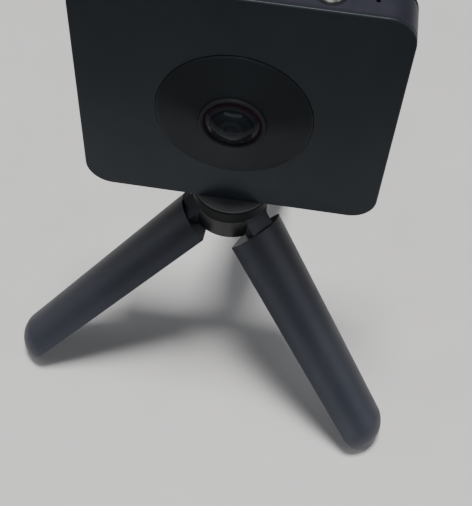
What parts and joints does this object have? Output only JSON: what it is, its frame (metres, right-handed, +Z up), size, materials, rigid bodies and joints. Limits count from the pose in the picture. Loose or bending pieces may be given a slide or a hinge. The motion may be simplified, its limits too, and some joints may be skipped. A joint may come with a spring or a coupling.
{
  "type": "panoramic camera on a folding table tripod",
  "caption": "Rounded-square slab camera with a raised round lens plate and a domed fisheye lens on each face, on a short hub with folding tapered legs.",
  "frame": {"origin": "centre of the stance's bounding box, on the floor", "axes": "+Z up, -Y the way the front lens looks, +X the camera's right-hand side seen from the front"},
  "size_m": [0.114, 0.1078, 0.1342],
  "materials": {
    "band": "fine bead-blasted, dark blue-grey anodised",
    "cover": "satin graphite moulding, very fine grain",
    "seal": "matt black",
    "disc": "dark anodised, turned with fine concentric lines",
    "bezel": "dark anodised, polished bevel",
    "lens_glass": "coated, faint magenta reflection",
    "barrel": "matt black, light-trapping",
    "inner_glass": "clear",
    "circuit": "green solder mask",
    "chips": "matt epoxy",
    "chassis": "stamped, bare",
    "cell": "foil pouch in grey film",
    "dark_moulding": "plain moulded",
    "antenna": "copper flex",
    "steel": "plain",
    "light": "frosted light pipe",
    "brass": "turned",
    "silver_cap": "satin silver, lightly dished",
    "gloss_ring": "gloss black",
    "side_key": "satin dark grey",
    "tripod_shell": "satin dark grey moulding",
    "tripod_inner": "dark grey moulding",
    "pad": "matt black",
    "acetal": "natural acetal"
  },
  "bodies": {
    "hub": {"hub": "tripod_shell", "hinge_pins": "steel", "hinge_washers": "steel", "hub_cap": "tripod_inner", "swivel_washer": "acetal"},
    "clamp": {"clamp_ring": "tripod_shell", "friction_pad": "pad", "camera_screw": "steel", "screw_clip": "steel"},
    "shutter_button": {"shutter_button": "silver_cap"},
    "power_button": {"power_button": "side_key"},
    "mode_button": {"mode_button": "side_key"},
    "left_leg": {"left_leg_shell": "tripod_shell", "left_leg_cover": "tripod_inner", "left_leg_screws": "steel", "left_foot_pad": "pad"},
    "right_leg": {"right_leg_shell": "tripod_shell", "right_leg_cover": "tripod_inner", "right_leg_screws": "steel", "right_foot_pad": "pad"},
    "back_leg": {"back_leg_shell": "tripod_shell", "back_leg_cover": "tripod_inner", "back_leg_screws": "steel", "back_foot_pad": "pad"},
    "camera": {"battery": "cell", "board_chips": "chips", "card_slot": "steel", "chassis_screws": "steel", "cover_screws": "steel", "front_cover": "cover", "front_cover_seal": "seal", "front_lens_barrel": "barrel", "front_lens_bezel": "bezel", "front_lens_disc": "disc", "front_lens_dome": "lens_glass", "front_lens_elements": "inner_glass", "front_sensor_board": "circuit", "lens_chassis": "chassis", "main_board": "circuit", "microphone": "steel", "middle_band": "band", "rear_cover": "cover", "rear_cover_seal": "seal", "rear_lens_barrel": "barrel", "rear_lens_bezel": "bezel", "rear_lens_disc": "disc", "rear_lens_dome": "lens_glass", "rear_lens_elements": "inner_glass", "rear_sensor_board": "circuit", "shutter_ring": "gloss_ring", "shutter_switch": "dark_moulding", "side_switches": "dark_moulding", "speaker": "dark_moulding", "status_light": "light", "tripod_socket": "brass", "usb_port": "steel", "wifi_antenna": "antenna"}
  },
  "joints": [
    {"name": "head_swivel", "type": "hinge", "parent": "hub", "child": "clamp", "pos_m": [0.00366, -0.01042, 0.0636], "axis": [0, 0, 1], "continuous": true},
    {"name": "camera_thread", "type": "hinge", "parent": "clamp", "child": "camera", "pos_m": [0.00366, -0.01042, 0.0668], "axis": [0, 0, 1], "continuous": true},
    {"name": "shutter_press", "type": "slide", "parent": "camera", "child": "shutter_button", "axis": [0, 0, -1], "range_m": [0, 0.0004], "stiffness_N_per_m": 400, "springref_m": -0.0006},
    {"name": "power_press", "type": "slide", "parent": "camera", "child": "power_button", "axis": [-1, 0, 0], "range_m": [0, 0.0003], "stiffness_N_per_m": 400, "springref_m": -0.0006},
    {"name": "mode_press", "type": "slide", "parent": "camera", "child": "mode_button", "axis": [-1, 0, 0], "range_m": [0, 0.0003], "stiffness_N_per_m": 400, "springref_m": -0.0006},
    {"name": "left_leg_fold", "type": "hinge", "parent": "hub", "child": "left_leg", "pos_m": [-0.00376, -0.01342, 0.0602], "axis": [0.3746, -0.9272, 0], "range_deg": [0, 47.1]},
    {"name": "right_leg_fold", "type": "hinge", "parent": "hub", "child": "right_leg", "pos_m": [0.00996, -0.01535, 0.0602], "axis": [0.6157, 0.788, 0], "range_deg": [0, 47.1]},
    {"name": "back_leg_fold", "type": "hinge", "parent": "hub", "child": "back_leg", "pos_m": [0.00477, -0.0025, 0.0602], "axis": [-0.9903, 0.1392, 0], "range_deg": [0, 47.1]}
  ]
}
